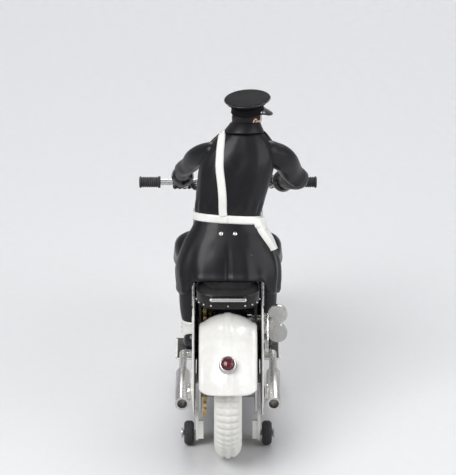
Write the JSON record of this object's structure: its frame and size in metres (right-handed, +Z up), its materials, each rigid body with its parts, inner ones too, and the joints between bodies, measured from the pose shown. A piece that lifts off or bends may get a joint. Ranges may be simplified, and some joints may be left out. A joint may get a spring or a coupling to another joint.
{
  "type": "clockwork tin motorcycle",
  "caption": "Small clockwork tinplate motorcycle with a seated rider in peaked cap and belts, winding key at the side, driven rear wheel and stabiliser rollers.",
  "frame": {"origin": "on the ground under the middle of the toy's box", "axes": "+Y forward, +X to the rider's right, +Z up"},
  "size_m": [0.033, 0.0762, 0.0612],
  "materials": {
    "white_tin": "gloss enamel on tinplate",
    "black_tin": "gloss enamel on tinplate",
    "skin_tin": "satin enamel on tinplate",
    "saddle_black": "satin enamel on tinplate",
    "plated_steel": "nickel plate",
    "bare_steel": "brushed",
    "spring_steel": "blued",
    "gear_brass": "satin",
    "white_tyre": "white rubber",
    "black_rubber": "matt",
    "red_lens": "transparent red paint",
    "clear_lens": "clear"
  },
  "bodies": {
    "chassis": {"left_shell": "white_tin", "right_shell": "white_tin", "belly_plate": "bare_steel", "motor_plate_left": "bare_steel", "motor_plate_right": "bare_steel", "plate_pillars": "gear_brass", "rear_mudguard": "white_tin", "tail_lamp_housing": "plated_steel", "tail_lamp_lens": "red_lens", "front_fork": "white_tin", "steering_stem": "plated_steel", "front_mudguard": "white_tin", "headlamp_shell": "plated_steel", "headlamp_rim": "plated_steel", "headlamp_lens": "clear_lens", "handlebar": "plated_steel", "left_grip": "black_rubber", "right_grip": "black_rubber", "saddle": "saddle_black", "saddle_rail": "plated_steel", "left_silencer": "plated_steel", "right_silencer": "plated_steel", "left_stabiliser_leg": "white_tin", "right_stabiliser_leg": "white_tin", "roller_pins": "bare_steel", "left_footboard": "white_tin", "right_footboard": "white_tin", "front_axle": "plated_steel", "rider_coat_back": "black_tin", "rider_coat_front": "black_tin", "rider_head": "skin_tin", "rider_cap": "black_tin", "left_arm": "black_tin", "right_arm": "black_tin", "left_leg": "black_tin", "right_leg": "black_tin", "mainspring": "spring_steel"},
    "front_wheel": {"front_tyre": "white_tyre", "front_wheel_left_disc": "plated_steel", "front_wheel_right_disc": "plated_steel"},
    "rear_wheel": {"rear_tyre": "white_tyre", "rear_wheel_left_disc": "plated_steel", "rear_wheel_right_disc": "plated_steel", "rear_axle": "bare_steel", "axle_collars": "plated_steel", "axle_pinion": "gear_brass"},
    "second_shaft": {"second_arbor": "bare_steel", "second_gear": "gear_brass", "second_pinion": "gear_brass", "brake_drum": "gear_brass"},
    "great_wheel": {"great_gear": "gear_brass", "click": "bare_steel"},
    "winding_shaft": {"winding_arbor": "bare_steel", "ratchet_wheel": "bare_steel", "winding_key": "plated_steel"},
    "left_roller_wheel": {"left_roller": "black_rubber"},
    "right_roller_wheel": {"right_roller": "black_rubber"},
    "brake_lever": {"stop_lever": "plated_steel"}
  },
  "joints": [
    {"name": "rear_wheel_spin", "type": "hinge", "parent": "chassis", "child": "rear_wheel", "pos_m": [0, -0.02492, 0.012], "axis": [1, 0, 0], "continuous": true},
    {"name": "second_shaft_spin", "type": "hinge", "parent": "chassis", "child": "second_shaft", "pos_m": [0, -0.0122, 0.0147], "axis": [1, 0, 0], "continuous": true},
    {"name": "great_wheel_spin", "type": "hinge", "parent": "chassis", "child": "great_wheel", "pos_m": [0, -0.0007, 0.0147], "axis": [1, 0, 0], "continuous": true},
    {"name": "key_wind", "type": "hinge", "parent": "great_wheel", "child": "winding_shaft", "pos_m": [0, -0.0007, 0.0147], "axis": [1, 0, 0], "continuous": true, "deforming": ["mainspring", "click"]},
    {"name": "front_wheel_spin", "type": "hinge", "parent": "chassis", "child": "front_wheel", "pos_m": [0, 0.02608, 0.012], "axis": [1, 0, 0], "continuous": true},
    {"name": "left_roller_spin", "type": "hinge", "parent": "chassis", "child": "left_roller_wheel", "pos_m": [0, -0.02142, 0.0022], "axis": [1, 0, 0], "continuous": true},
    {"name": "right_roller_spin", "type": "hinge", "parent": "chassis", "child": "right_roller_wheel", "pos_m": [0, -0.02142, 0.0022], "axis": [1, 0, 0], "continuous": true},
    {"name": "stop_lever_swing", "type": "hinge", "parent": "chassis", "child": "brake_lever", "pos_m": [0, -0.0118, 0.0206], "axis": [1, 0, 0], "range_deg": [-10, 0]}
  ],
  "couplings": [
    {"joint": "second_shaft_spin", "follows": "rear_wheel_spin", "ratio": -0.44444},
    {"joint": "great_wheel_spin", "follows": "rear_wheel_spin", "ratio": 0.12346}
  ]
}
